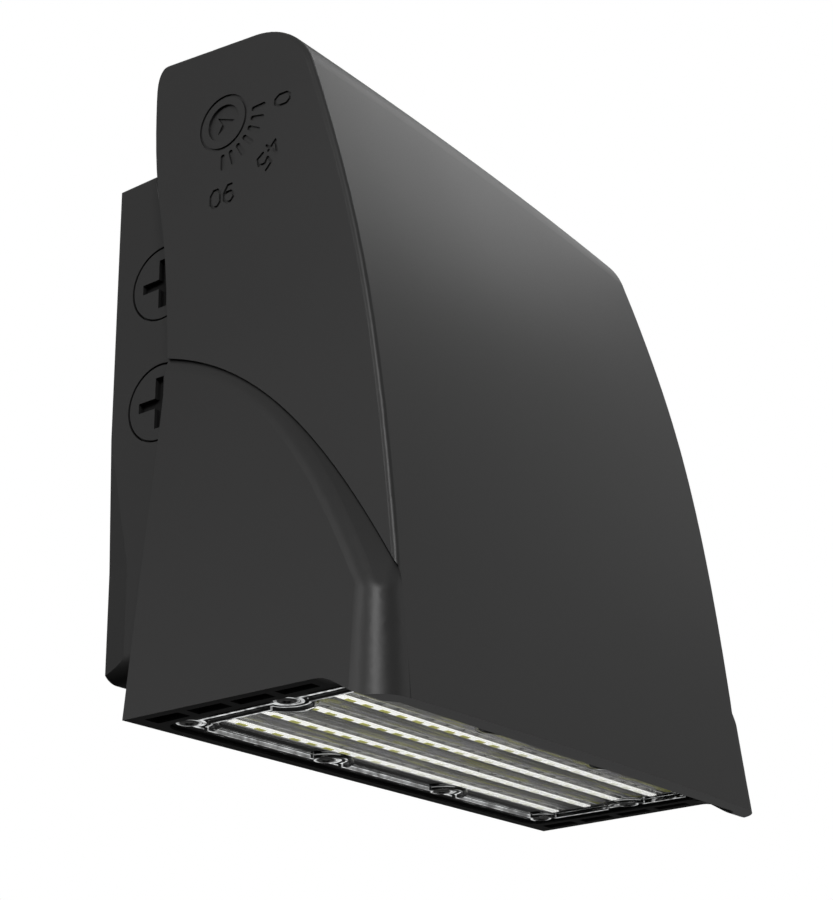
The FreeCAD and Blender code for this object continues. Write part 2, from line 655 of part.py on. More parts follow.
# ---------------------------------------------------------------- dial marks
def bar(x0, x1, a, b, width):
    """Round-ended bar between two (y, z) points."""
    length = math.hypot(b[0] - a[0], b[1] - a[1])
    ny = -(b[1] - a[1]) / length * width / 2
    nz = (b[0] - a[0]) / length * width / 2
    body = plate_x([(a[0] + ny, a[1] + nz), (b[0] + ny, b[1] + nz),
                    (b[0] - ny, b[1] - nz), (a[0] - ny, a[1] - nz)], x0, x1)
    return body.fuse([rod_x(width / 2, x0, x1, p[0], p[1]) for p in (a, b)])


DIGIT_LINES = {
    "0": [(0.0, 0.25, 0.0, 0.75), (0.0, 0.75, 0.3, 1.0), (0.3, 1.0, 0.7, 1.0),
          (0.7, 1.0, 1.0, 0.75), (1.0, 0.75, 1.0, 0.25), (1.0, 0.25, 0.7, 0.0),
          (0.7, 0.0, 0.3, 0.0), (0.3, 0.0, 0.0, 0.25)],
    "4": [(0.75, 0.0, 0.75, 1.0), (0.75, 1.0, 0.0, 0.33), (0.0, 0.33, 1.0, 0.33)],
    "5": [(0.95, 1.0, 0.15, 1.0), (0.15, 1.0, 0.05, 0.55), (0.05, 0.55, 0.6, 0.64),
          (0.6, 0.64, 1.0, 0.35), (1.0, 0.35, 0.65, 0.0), (0.65, 0.0, 0.0, 0.08)],
    "9": [(1.0, 0.62, 0.7, 0.4), (0.7, 0.4, 0.3, 0.4), (0.3, 0.4, 0.0, 0.62),
          (0.0, 0.62, 0.0, 0.78), (0.0, 0.78, 0.3, 1.0), (0.3, 1.0, 0.7, 1.0),
          (0.7, 1.0, 1.0, 0.78), (1.0, 0.78, 1.0, 0.4), (1.0, 0.4, 0.6, 0.0),
          (0.6, 0.0, 0.2, 0.0)],
}


def number(side, text, angle, out):
    """Strokes of a number whose top points away from the pivot."""
    up = (-math.cos(math.radians(angle)), -math.sin(math.radians(angle)))
    right = (up[1] * side, -up[0] * side)
    x0 = -CHEEK_HALF + DIAL_DEPTH - 5 if side < 0 else CHEEK_HALF - DIAL_DEPTH
    x1 = x0 + 5
    width = len(text) * DIGIT_W + (len(text) - 1) * DIGIT_GAP
    strokes = []
    for i, char in enumerate(text):
        left = -width / 2 + i * (DIGIT_W + DIGIT_GAP)
        for u0, v0, u1, v1 in DIGIT_LINES[char]:
            ends = []
            for u, v in ((u0, v0), (u1, v1)):
                a = left + u * DIGIT_W
                b = out + (v - 0.5) * DIGIT_H
                ends.append((PIVOT_Y + right[0] * a + up[0] * b, PIVOT_Z + right[1] * a + up[1] * b))
            strokes.append(bar(x0, x1, ends[0], ends[1], DIGIT_STROKE))
    return strokes


def dial_marks(side):
    """Recessed ring, ticks and numbers round one pivot."""
    x0 = -CHEEK_HALF + DIAL_DEPTH - 5 if side < 0 else CHEEK_HALF - DIAL_DEPTH
    x1 = x0 + 5
    ring = rod_x(DIAL_RING_R + DIAL_RING_W / 2, x0, x1, PIVOT_Y, PIVOT_Z)
    marks = [ring.cut(rod_x(DIAL_RING_R - DIAL_RING_W / 2, x0 - 1, x1 + 1, PIVOT_Y, PIVOT_Z))]
    steps = int(round(90.0 / DIAL_STEP))
    for i in range(steps + 1):
        a = math.radians(i * DIAL_STEP)
        ends = [(PIVOT_Y - r * math.cos(a), PIVOT_Z - r * math.sin(a))
                for r in (DIAL_TICK_R0, DIAL_TICK_R1)]
        marks.append(bar(x0, x1, ends[0], ends[1], DIAL_TICK_W))
    marks += number(side, "0", DIGIT_ZERO_TURN, DIGIT_ZERO_OUT)
    marks += number(side, "45", 45.0, DIGIT_OUT)
    marks += number(side, "90", 90.0, DIGIT_OUT)
    return join(marks)


# ---------------------------------------------------------------- head shell
def top_z(y, inset=0.0):
    return TOP_REAR_Z + TOP_SLOPE * (y - TOP_REAR_Y) - inset


def shield_curve(x, bow, inset=0.0):
    """Face, crown and top of the shield at one station, with their end points."""
    shift = inset * math.hypot(1.0, SHIELD_TOP_LEAN / 2)
    points = [V(x, y - bow + shift, z) for y, z in SHIELD_FACE]
    lean = math.hypot(SHIELD_TOP_LEAN, 1.0)
    face = (SHIELD_TOP_LEAN / lean, 1.0 / lean)
    roof_len = math.hypot(1.0, TOP_SLOPE)
    roof = (1.0 / roof_len, TOP_SLOPE / roof_len)
    y_a = SHIELD_TOP_Y - bow + shift
    rise = (top_z(y_a, inset) - SHIELD_TOP_Z) / (1.0 - TOP_SLOPE * SHIELD_TOP_LEAN)
    corner = (y_a + SHIELD_TOP_LEAN * rise, SHIELD_TOP_Z + rise)
    turn = math.acos(face[0] * roof[0] + face[1] * roof[1])
    r = CROWN_R - inset
    reach = r * math.tan(turn / 2)
    start = V(x, corner[0] - face[0] * reach, corner[1] - face[1] * reach)
    end = V(x, corner[0] + roof[0] * reach, corner[1] + roof[1] * reach)
    gap = r / math.cos(turn / 2) - r
    mid_y = roof[0] - face[0]
    mid_z = roof[1] - face[1]
    size = math.hypot(mid_y, mid_z)
    middle = V(x, corner[0] + mid_y / size * gap, corner[1] + mid_z / size * gap)
    spline = Part.BSplineCurve()
    spline.interpolate(Points=points + [start],
                       InitialTangent=V(0, SHIELD_FOOT_LEAN, 1) * 30,
                       FinalTangent=V(0, face[0], face[1]) * 30)
    return spline.toShape(), Part.Arc(start, middle, end).toShape(), points[0], end


def shield_section(x, inset):
    bow = SHIELD_BOW * (1.0 - (x / CHEEK_HALF) ** 2)
    face, crown, foot, end = shield_curve(x, bow, inset)
    rear_y = REAR_KNEE_Y + 8.0
    rear_top = V(x, rear_y, top_z(rear_y, inset))
    rear_foot = V(x, rear_y, foot.z)
    return Part.Wire([face, crown, Part.makeLine(end, rear_top),
                      Part.makeLine(rear_top, rear_foot), Part.makeLine(rear_foot, foot)])


def shield_block(half_w, inset):
    """Solid between the bowed shield, the roof and two upright sides."""
    stations = [half_w * i / 2 for i in range(-2, 3)]
    return Part.makeLoft([shield_section(x, inset) for x in stations], True, False)


def shield_body():
    body = shield_block(CHEEK_HALF, 0.0)
    front = [e for e in body.Edges
             if e.BoundBox.XLength < 1e-6 and abs(abs(e.CenterOfMass.x) - CHEEK_HALF) < 1e-6
             and (e.BoundBox.YMax < TOP_REAR_Y or e.CenterOfMass.z > SHIELD_TOP_Z)]
    return body.makeFillet(SHIELD_EDGE_R, front)


def face_y(z):
    """Y of the shield's face at the cheek plane."""
    curve = shield_curve(CHEEK_HALF, 0.0)[0]
    low, high = curve.ParameterRange
    for _ in range(50):
        mid = (low + high) / 2
        if curve.valueAt(mid).z < z:
            low = mid
        else:
            high = mid
    return curve.valueAt(low).y


def flank_x(y, z, wall=0.0):
    """Half width of the flared flank, less a wall."""
    return FLANK_HALF + FLANK_TOE * (y - FLANK_REAR_Y) - FLANK_FLARE * z - wall


def flank_section(z):
    """Level section of the right flank, its nose rolling into the shield's face."""
    nose_x = ARCH_SEAT + NOSE_CREEP * (1.0 - z / NOSE_TIP_Z)
    face = face_y(z)
    stretch = math.hypot(1.0, BOW_LEAN)
    side = math.hypot(1.0, FLANK_TOE)
    base = flank_x(0.0, z)
    r = 8.0
    for _ in range(40):
        cx = nose_x - BOW_LEAN * r
        cy = face - NOSE_PROUD + BOW_LEAN * (cx - CHEEK_HALF) + r * stretch
        r = max(NOSE_LEAST_R, (base + FLANK_TOE * cy - cx) / side)
    if r <= NOSE_LEAST_R:
        cx = base + FLANK_TOE * cy - r * side
        cy = face - NOSE_PROUD + BOW_LEAN * (cx - CHEEK_HALF) + r * stretch
    first = -math.degrees(math.atan(FLANK_TOE))
    last = -NOSE_WRAP

    def on_nose(angle):
        return V(cx + r * math.cos(math.radians(angle)), cy + r * math.sin(math.radians(angle)), z)

    start = on_nose(first)
    end = on_nose(last)
    rear_y = REAR_KNEE_Y + 11.0
    rear = V(flank_x(rear_y, z), rear_y, z)
    inner_x = CHEEK_HALF - FLANK_ROOT
    inner_rear = V(inner_x, rear_y, z)
    inner_front = V(inner_x, end.y + SHIELD_WALL, z)
    return Part.Wire([Part.makeLine(start, rear), Part.makeLine(rear, inner_rear),
                      Part.makeLine(inner_rear, inner_front), Part.makeLine(inner_front, end),
                      Part.Arc(end, on_nose((first + last) / 2), start).toShape()])


def arch_points(offset, count=15):
    """Arch line moved inwards (down and back) by an offset, as (y, z)."""
    out = []
    for i in range(count):
        t = i / (count - 1)
        s = 1.0 - t
        w = [s ** 3, 3 * t * s * s, 3 * t * t * s, t ** 3]
        d = [-3 * s * s, 3 * s * s - 6 * t * s, 6 * t * s - 3 * t * t, 3 * t * t]
        y = sum(a * p[0] for a, p in zip(w, ARCH))
        z = sum(a * p[1] for a, p in zip(w, ARCH))
        dy = sum(a * p[0] for a, p in zip(d, ARCH))
        dz = sum(a * p[1] for a, p in zip(d, ARCH))
        size = math.hypot(dy, dz)
        out.append((y - dz / size * offset, z + dy / size * offset))
    return out


def arch_wire(x, offset):
    """Closed outline of everything under the arch, in one plane."""
    points = [V(x, y, z) for y, z in arch_points(offset)]
    spline = Part.BSplineCurve()
    spline.interpolate(points)
    low = -40.0
    rear = ARCH[0][0] + 7.0
    a = points[-1]
    b = V(x, a.y, low)
    c = V(x, rear, low)
    d = V(x, rear, points[0].z)
    return Part.Wire([spline.toShape(), Part.makeLine(a, b), Part.makeLine(b, c),
                      Part.makeLine(c, d), Part.makeLine(d, points[0])])


def under_arch(extra=0.0):
    """Region of the right flank under the sloping arch band."""
    x0 = ARCH_SEAT - 1.0
    x1 = FLANK_HALF + 4.0
    start = extra - ARCH_BITE
    return Part.makeLoft([arch_wire(x0, start - 1.0 / ARCH_SLOPE),
                          arch_wire(x1, start + (x1 - ARCH_SEAT) / ARCH_SLOPE)], True, True)


def flank():
    """Right flank: flared side, rolled nose, soft arch band."""
    top = ARCH[0][1] + 4.0
    foot = SHIELD_FACE[0][1] - 2.0
    levels = [foot + (top - foot) * i / 8 for i in range(9)]
    body = Part.makeLoft([flank_section(z) for z in levels], True, False)
    body = body.common(under_arch())
    crest = [e for e in body.Edges
             if e.BoundBox.XMin > ARCH_SEAT + 0.5 and e.BoundBox.ZMin > 5.0
             and e.BoundBox.YMax < ARCH[0][0] + 3.0]
    return body.makeFillet(min(ARCH_ROUND, FLANK_SPREAD * 0.58), crest)


def arch_recess():
    """Sinks the cheek under the arch so that the arch keeps a crisp step."""
    return Part.Face(arch_wire(ARCH_SEAT, 0.0)).extrude(V(ARCH_STEP + 5.0, 0, 0))


def rear_trim():
    """Everything behind the rear edge of the cheeks and flanks."""
    half = FLANK_HALF + 20
    start_y = REAR_KNEE_Y - TOP_REAR_RUN
    start = V(-half, start_y, top_z(start_y))
    knee = V(-half, REAR_KNEE_Y, top_z(REAR_KNEE_Y) - TOP_REAR_FALL)
    corner = Part.BSplineCurve()
    corner.interpolate(Points=[start, knee],
                       InitialTangent=V(0, 1.4 * TOP_REAR_RUN, 0), FinalTangent=V(0, 0, -1.4 * TOP_REAR_FALL))
    points = [knee] + [V(-half, y, z) for y, z in REAR_EDGE]
    spline = Part.BSplineCurve()
    spline.interpolate(Points=points, InitialTangent=V(0, 0, -TOP_REAR_FALL),
                       FinalTangent=V(0, 0.1, -TOP_REAR_FALL))
    last = points[-1]
    a = V(-half, last.y, -OVER)
    b = V(-half, OVER, -OVER)
    c = V(-half, OVER, start.z + OVER)
    d = V(-half, start.y, start.z + OVER)
    wire = Part.Wire([corner.toShape(), spline.toShape(),
                      Part.makeLine(last, a), Part.makeLine(a, b), Part.makeLine(b, c),
                      Part.makeLine(c, d), Part.makeLine(d, start)])
    return Part.Face(wire).extrude(V(2 * half, 0, 0))


def bottom_trim():
    """Everything below the rim, which drops to the shield's lip at the front."""
    half = FLANK_HALF + 20
    a = V(-half, LIP_START_Y, 0)
    b = V(-half, LIP_END_Y, -LIP_DROP)
    spline = Part.BSplineCurve()
    spline.interpolate(Points=[a, V(-half, (LIP_START_Y + LIP_END_Y) / 2, -LIP_DROP * 0.38), b],
                       InitialTangent=V(0, -8, 0), FinalTangent=V(0, -5, -1.5))
    front_y = SHIELD_FACE[0][0] - OVER
    rear = V(-half, OVER, 0)
    low_rear = V(-half, OVER, -OVER)
    low_front = V(-half, front_y, -OVER)
    front = V(-half, front_y, -LIP_DROP - 0.5)
    wire = Part.Wire([Part.makeLine(rear, a), spline.toShape(), Part.makeLine(b, front),
                      Part.makeLine(front, low_front), Part.makeLine(low_front, low_rear),
                      Part.makeLine(low_rear, rear)])
    return Part.Face(wire).extrude(V(2 * half, 0, 0))


def head_skin():
    """Outside of the lamp head as one solid."""
    recess = arch_recess()
    body = shield_body().cut(both(recess))
    body = body.fuse(both(flank()))
    return body.cut([rear_trim(), bottom_trim()])


# ---------------------------------------------------------------- head inside
def flank_slab(y0, y1, z0, z1, x_inner, wall):
    """Right-hand room between an upright plane and the flared flank's wall."""
    corners = [(y0, z0), (y1, z0), (y1, z1), (y0, z1)]
    inner = [V(x_inner, y, z) for y, z in corners]
    outer = [V(flank_x(y, z, wall), y, z) for y, z in corners]
    return Part.makeLoft([Part.makePolygon(inner + inner[:1]),
                          Part.makePolygon(outer + outer[:1])], True, True)


def flank_room():
    """Hollow of the right flank above the floor, open to the rear."""
    room = flank_slab(LIP_START_Y - 2, 0.0, FLOOR_TOP, ARCH[0][1] + 6, CHEEK_HALF - CHEEK_WALL - 1,
                      FLANK_WALL)
    return room.common(under_arch(ARCH_WALL))


def bottom_pockets():
    """Row of open pockets between the right flank and the lens frame."""
    rooms = []
    for i in range(POCKET_COUNT):
        y1 = POCKET_FIRST_Y - i * POCKET_PITCH
        y0 = y1 - POCKET_PITCH + POCKET_RIB
        rooms.append(flank_slab(y0, y1, -1.0, POCKET_TOP, POCKET_HALF, FLANK_WALL))
    return rooms


def lens_screw_spots():
    spots = [(x, LENS_SCREW_REAR_Y) for x in LENS_SCREW_X]
    spots += [(LENS_SCREW_X[0], LENS_SCREW_MID_Y), (LENS_SCREW_X[-1], LENS_SCREW_MID_Y)]
    return spots + [(x, LENS_SCREW_FRONT_Y) for x in LENS_SCREW_X]


def bay_screw_spots():
    return [(s * BAY_SCREW_X, z) for z in BAY_SCREW_Z for s in (-1, 1)]


def driver_screw_spots():
    x = DRIVER_HALF + DRIVER_TAB_W / 2
    y = DRIVER_REAR_Y - DRIVER_DEPTH / 2
    return [(-x, y), (x, y)]


def lens_recess():
    return rounded_block(-LENS_HALF - LENS_PLAY, LENS_HALF + LENS_PLAY,
                         LENS_FRONT_Y - LENS_PLAY, LENS_REAR_Y + LENS_PLAY,
                         -OVER, LEDGE_Z, LENS_CORNER_R + LENS_PLAY)


def window():
    return rounded_block(-WINDOW_HALF, WINDOW_HALF, WINDOW_FRONT_Y, WINDOW_REAR_Y,
                         LEDGE_Z - 1.0, FLOOR_Z, WINDOW_CORNER_R)


def lip_hollow():
    front = SHIELD_FACE[1][0] + LIP_WALL
    return rounded_block(-POCKET_HALF, POCKET_HALF, front, OVER, -OVER, 0.0, LIP_INNER_R)


def driver_bay():
    """Walls, frame and screw bosses of the sealed driver bay."""
    room = shield_block(CHEEK_HALF - CHEEK_WALL, SHIELD_WALL / 2)
    walls = [block(BAY_HALF - BAY_WALL, BAY_HALF, SHIELD_FACE[0][0] - SHIELD_BOW, BAY_SEAT_Y,
                   FLOOR_TOP - 1, TOP_REAR_Z)]
    walls = both(walls[0])
    frame = block(-BAY_HALF, BAY_HALF, BAY_SEAT_Y - BAY_FRAME_T, BAY_SEAT_Y,
                  FLOOR_TOP - 1, TOP_REAR_Z)
    frame = frame.cut(block(-BAY_OPEN_HALF, BAY_OPEN_HALF, BAY_SEAT_Y - 10, BAY_SEAT_Y + 1,
                            BAY_OPEN_Z0, BAY_OPEN_Z1))
    bosses = [rod_y(BAY_BOSS_R, BAY_SEAT_Y - BAY_FRAME_T - BAY_BOSS_LEN, BAY_SEAT_Y - 1, x, z)
              for x, z in bay_screw_spots()]
    return join(walls + [frame] + bosses).common(room)


def head_housing():
    body = head_skin()
    room = shield_block(CHEEK_HALF - CHEEK_WALL, SHIELD_WALL)
    room = room.cut(block(-CHEEK_HALF, CHEEK_HALF, SHIELD_FACE[0][0] - OVER, OVER, -OVER, FLOOR_TOP))
    rear_gap = block(-CHEEK_HALF + CHEEK_WALL, CHEEK_HALF - CHEEK_WALL, TOP_WALL_END_Y, OVER,
                     FLOOR_TOP, TOP_REAR_Z + OVER)
    cuts = [room, rear_gap, lens_recess(), window(), lip_hollow()]
    cuts += both(flank_room())
    for pocket in bottom_pockets():
        cuts += both(pocket)
    body = body.cut(cuts)
    boss = rod_x(EAR_R, -CHEEK_HALF + CHEEK_WALL - 0.5, -BOSS_FACE_X, PIVOT_Y, PIVOT_Z)
    body = body.fuse(both(boss) + [driver_bay()])
    holes = both(rod_x(HUB_R + HUB_RUNNING, -CHEEK_HALF - 5, -BOSS_FACE_X + 5, PIVOT_Y, PIVOT_Z))
    holes += [rod_z(LENS_SCREW_R + THREAD_PLAY, LEDGE_Z - 1,
                    LENS_Z + LENS_SCREW_SINK + LENS_SCREW_LEN + 0.6, x, y)
              for x, y in lens_screw_spots()]
    holes += [rod_y(M4_R + THREAD_PLAY, BAY_SEAT_Y - BAY_FRAME_T - BAY_BOSS_LEN + 1,
                    BAY_SEAT_Y + 1, x, z) for x, z in bay_screw_spots()]
    holes += [rod_z(M4_R + THREAD_PLAY, FLOOR_TOP + DRIVER_TAB_T - DRIVER_SCREW_LEN - 0.3,
                    FLOOR_TOP + 1, x, y) for x, y in driver_screw_spots()]
    holes.append(rod_z(LEAD_HOLE_R, FLOOR_Z - 1, FLOOR_TOP + 1, 0, (ROWS_Y[1] + ROWS_Y[2]) / 2))
    return body.cut(holes).cut([dial_marks(-1), dial_marks(1)])


# ---------------------------------------------------------------- optics
def led_board(y):
    board = block(-BOARD_HALF, BOARD_HALF, y - BOARD_W / 2, y + BOARD_W / 2, BOARD_Z, FLOOR_Z)
    span = (CHIP_COUNT - 1) * CHIP_PITCH
    chips = []
    for i in range(CHIP_COUNT):
        x = -span / 2 + i * CHIP_PITCH
        chips.append(block(x - CHIP_L / 2, x + CHIP_L / 2, y - CHIP_W / 2, y + CHIP_W / 2,
                           BOARD_Z - CHIP_T, BOARD_Z))
    return board.fuse(chips)


def reflector():
    """Bright plate under the boards with one slot for each row of chips."""
    z1 = BOARD_Z
    z0 = z1 - REFLECTOR_T
    plate = rounded_block(-WINDOW_HALF + REFLECTOR_GAP, WINDOW_HALF - REFLECTOR_GAP,
                          WINDOW_FRONT_Y + REFLECTOR_GAP, WINDOW_REAR_Y - REFLECTOR_GAP,
                          z0, z1, WINDOW_CORNER_R)
    slots = []
    for y in ROWS_Y:
        half = REFLECTOR_SLOT_W / 2
        slots.append(rounded_block(-BOARD_HALF + 2, BOARD_HALF - 2, y - half, y + half,
                                   z0 - 1, z1 + 1, half * 0.96))
    return plate.cut(slots)


def lens_gasket():
    outer = rounded_block(-LENS_HALF + 0.5, LENS_HALF - 0.5, LENS_FRONT_Y + 0.5,
                          LENS_REAR_Y - 0.5, LENS_TOP, LEDGE_Z, LENS_CORNER_R - 0.5)
    inner = rounded_block(-WINDOW_HALF - 0.3, WINDOW_HALF + 0.3, WINDOW_FRONT_Y - 0.3,
                          WINDOW_REAR_Y + 0.3, LENS_TOP - 1, LEDGE_Z + 1, WINDOW_CORNER_R)
    holes = [rod_z(LENS_SCREW_R + HOLE_PLAY, LENS_TOP - 1, LEDGE_Z + 1, x, y)
             for x, y in lens_screw_spots()]
    return outer.cut([inner] + holes)


def lobed_plate(inset, lobe, z0, z1):
    """Lens outline set in, stepping round every screw."""
    plate = rounded_block(-LENS_HALF + inset, LENS_HALF - inset, LENS_FRONT_Y + inset,
                          LENS_REAR_Y - inset, z0, z1, LENS_CORNER_R)
    return plate.cut([rod_z(lobe, z0 - 1, z1 + 1, x, y) for x, y in lens_screw_spots()])


def lens():
    plate = rounded_block(-LENS_HALF, LENS_HALF, LENS_FRONT_Y, LENS_REAR_Y, LENS_Z, LENS_TOP,
                          LENS_CORNER_R)
    z0 = LENS_Z - LENS_BEAD_H
    bead = lobed_plate(LENS_BEAD_INSET, LENS_LOBE_R, z0, LENS_Z)
    bead = bead.cut(lobed_plate(LENS_BEAD_INSET + LENS_BEAD_W, LENS_LOBE_R + LENS_BEAD_W,
                                z0 - 1, LENS_Z + 1))
    holes = [rod_z(LENS_SCREW_R + HOLE_PLAY, z0 - 1, LENS_TOP + 1, x, y)
             for x, y in lens_screw_spots()]
    holes += [rod_z(LENS_SCREW_HEAD_R + HOLE_PLAY, z0 - 1, LENS_Z + LENS_SCREW_SINK, x, y)
              for x, y in lens_screw_spots()]
    return plate.fuse(bead).cut(holes)


def lens_screw(x, y):
    screw = pan_screw(LENS_SCREW_HEAD_R, LENS_SCREW_HEAD_H, LENS_SCREW_R, LENS_SCREW_LEN)
    return placed(screw, V(x, y, LENS_Z + LENS_SCREW_SINK), V(0, 0, -1))


# ---------------------------------------------------------------- driver bay
def back_cover():
    half = BAY_HALF - BAY_COVER_INSET
    cover = block(-half, half, BAY_COVER_Y, BAY_COVER_OUT_Y, BAY_COVER_Z0, BAY_COVER_Z1)
    corners = [e for e in cover.Edges if abs(e.BoundBox.YLength - BAY_COVER_T) < 1e-6]
    cover = cover.makeFillet(BAY_COVER_R, corners)
    holes = [rod_y(M4_R + HOLE_PLAY, BAY_COVER_Y - 1, BAY_COVER_OUT_Y + 1, x, z)
             for x, z in bay_screw_spots()]
    holes.append(rod_y(GROMMET_R + GROMMET_PLAY, BAY_COVER_Y - 1, BAY_COVER_OUT_Y + 1,
                       HEAD_GROMMET_X, HEAD_GROMMET_Z))
    return cover.cut(holes)


def back_cover_gasket():
    half = BAY_HALF - BAY_COVER_INSET - 0.4
    outer = block(-half, half, BAY_SEAT_Y, BAY_COVER_Y, BAY_COVER_Z0 + 0.4, BAY_COVER_Z1 - 0.4)
    inner = block(-BAY_OPEN_HALF - 0.2, BAY_OPEN_HALF + 0.2, BAY_SEAT_Y - 1, BAY_COVER_Y + 1,
                  BAY_OPEN_Z0 - 0.2, BAY_OPEN_Z1 + 0.2)
    holes = [rod_y(M4_R + HOLE_PLAY, BAY_SEAT_Y - 1, BAY_COVER_Y + 1, x, z)
             for x, z in bay_screw_spots()]
    return outer.cut([inner] + holes)


def back_cover_screw(x, z):
    screw = pan_screw(M4_HEAD_R, M4_HEAD_H, M4_R,
                      BAY_COVER_T + BAY_GASKET_T + BAY_BOSS_LEN)
    return placed(screw, V(x, BAY_COVER_OUT_Y, z), V(0, 1, 0))


def head_grommet():
    flange = rod_y(GROMMET_R + GROMMET_LIP, BAY_COVER_OUT_Y, BAY_COVER_OUT_Y + GROMMET_LIP_T,
                   HEAD_GROMMET_X, HEAD_GROMMET_Z)
    core = rod_y(GROMMET_R, BAY_COVER_Y - 2.0, BAY_COVER_OUT_Y, HEAD_GROMMET_X, HEAD_GROMMET_Z)
    bore = rod_y(GROMMET_BORE_R, BAY_COVER_Y - 10, BAY_COVER_OUT_Y + 10,
                 HEAD_GROMMET_X, HEAD_GROMMET_Z)
    return flange.fuse(core).cut(bore)


def driver_case():
    y1 = DRIVER_REAR_Y
    y0 = y1 - DRIVER_DEPTH
    case = block(-DRIVER_HALF, DRIVER_HALF, y0, y1, FLOOR_TOP, FLOOR_TOP + DRIVER_H)
    long_edges = [e for e in case.Edges if e.BoundBox.XLength > DRIVER_HALF
                  and e.CenterOfMass.z > FLOOR_TOP + DRIVER_H / 2]
    case = case.makeChamfer(DRIVER_EDGE, long_edges)
    tabs = []
    holes = []
    for x, y in driver_screw_spots():
        half = DRIVER_TAB_W / 2
        tabs.append(block(x - half, x + half, y - DRIVER_TAB_L / 2, y + DRIVER_TAB_L / 2,
                          FLOOR_TOP, FLOOR_TOP + DRIVER_TAB_T))
        holes.append(rod_z(M4_R + HOLE_PLAY, FLOOR_TOP - 1, FLOOR_TOP + DRIVER_TAB_T + 1, x, y))
    return case.fuse(tabs).cut(holes)


def driver_screw(x, y):
    screw = pan_screw(M4_HEAD_R, M4_HEAD_H, M4_R, DRIVER_SCREW_LEN)
    return placed(screw, V(x, y, FLOOR_TOP + DRIVER_TAB_T), V(0, 0, 1))


# ---------------------------------------------------------------- output
def build():
    os.makedirs("parts", exist_ok=True)
    save("mounting_box", mounting_box())
    save("wall_gasket", wall_gasket_ring(0.0))
    save("box_cover_gasket", box_cover_gasket())
    save("box_cover", box_cover())
    for i, (x, z) in enumerate(cover_screw_spots()):
        save("box_cover_screw_%d" % (i + 1), box_cover_screw(x, z))
    for side, side_name in ((-1, "left"), (1, "right")):
        for z, level in zip(PLUG_Z, ("lower", "upper")):
            save("conduit_plug_%s_%s" % (side_name, level), conduit_plug(side, z))
            save("plug_seal_%s_%s" % (side_name, level), plug_seal(side, z))
        save("pivot_hub_" + side_name, pivot_hub(side))
        save("hub_nut_" + side_name, hub_nut(side))
        save("friction_washer_" + side_name, friction_washer(side))
    save("box_grommet", box_grommet())
    save("wiring_block", wiring_block())
    save("earth_screw", earth_screw())
    save("head_housing", head_housing())
    for i, y in enumerate(ROWS_Y):
        save("led_board_%d" % (i + 1), led_board(y))
    save("reflector", reflector())
    save("lens_gasket", lens_gasket())
    save("lens", lens())
    for i, (x, y) in enumerate(lens_screw_spots()):
        save("lens_screw_%02d" % (i + 1), lens_screw(x, y))
    save("back_cover", back_cover())
    save("back_cover_gasket", back_cover_gasket())
    for i, (x, z) in enumerate(bay_screw_spots()):
        save("back_cover_screw_%d" % (i + 1), back_cover_screw(x, z))
    save("head_grommet", head_grommet())
    save("driver_case", driver_case())
    for i, (x, y) in enumerate(driver_screw_spots()):
        save("driver_screw_%d" % (i + 1), driver_screw(x, y))


build()
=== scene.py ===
import bmesh
import bpy
from mathutils import Matrix, Vector


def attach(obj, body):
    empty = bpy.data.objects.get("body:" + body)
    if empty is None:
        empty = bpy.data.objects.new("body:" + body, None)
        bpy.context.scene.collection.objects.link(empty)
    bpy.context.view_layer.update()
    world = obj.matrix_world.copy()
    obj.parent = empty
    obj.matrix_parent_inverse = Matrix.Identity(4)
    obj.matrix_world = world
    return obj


# Wall pack light: finishes, faces of the LED boards, light and camera. Lengths are in metres.
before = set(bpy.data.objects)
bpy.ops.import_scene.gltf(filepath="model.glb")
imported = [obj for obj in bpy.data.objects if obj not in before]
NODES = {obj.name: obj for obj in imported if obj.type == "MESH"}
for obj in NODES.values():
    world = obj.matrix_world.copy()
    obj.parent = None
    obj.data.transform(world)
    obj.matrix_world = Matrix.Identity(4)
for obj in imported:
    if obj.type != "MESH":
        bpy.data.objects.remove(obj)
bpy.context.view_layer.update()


# ---------------------------------------------------------------- places on the lamp head
def corners(node):
    """Lowest and highest corner of a CAD node."""
    places = [vertex.co for vertex in NODES[node].data.vertices]
    low = Vector([min(place[axis] for place in places) for axis in range(3)])
    high = Vector([max(place[axis] for place in places) for axis in range(3)])
    return low, high


def middle(node):
    low, high = corners(node)
    return (low + high) / 2


MM = 0.001

# the LED rows, from the rear one to the front one
BOARD_COUNT = 4
ROWS = [middle("led_board_%d" % number).y for number in range(1, BOARD_COUNT + 1)]
ROW_PITCH = ROWS[0] - ROWS[1]
CHIP_COUNT = 21
CHIP_PITCH = 0.0077

# the lens, its screws on the right half and the line of its bead
LENS_LOW, LENS_HIGH = corners("lens")
SCREWS = [middle(node) for node in sorted(NODES) if node.startswith("lens_screw")]
RIGHT_SCREWS = [screw for screw in SCREWS if screw.x > 0.0]
BEAD_HALF_X = LENS_HIGH.x - 0.0060
BEAD_REAR_Y = LENS_HIGH.y - 0.0064
BEAD_FRONT_Y = LENS_LOW.y + 0.0065
BEAD_ROUND_SCREW = 0.0062

# white face and phosphor chips of a board, between the lens and the reflector
REFLECTOR_LOW, REFLECTOR_HIGH = corners("reflector")
STRIP_HALF_X = REFLECTOR_HIGH.x
STRIP_HALF_Y = 0.0013
STRIP_SHIFT = 0.0009
STRIP_TOP = REFLECTOR_LOW.z - 0.00005
STRIP_THICK = 0.00035
CHIP_SIZE_X = 0.0038
CHIP_SIZE_Y = 0.0014
CHIP_INSET = 0.0001
CHIP_PROUD = 0.00012
CHIP_SINK = 0.00002

# where the front lip's underside starts, which has painted light, and the depth of the conduit
# plugs' slots, over which painted shade deepens
LIP_TOP_Z = -0.1036
LIP_REAR_Y = -0.1085
SLOT_MOUTH_X = 0.0842
SLOT_FLOOR_X = 0.0836


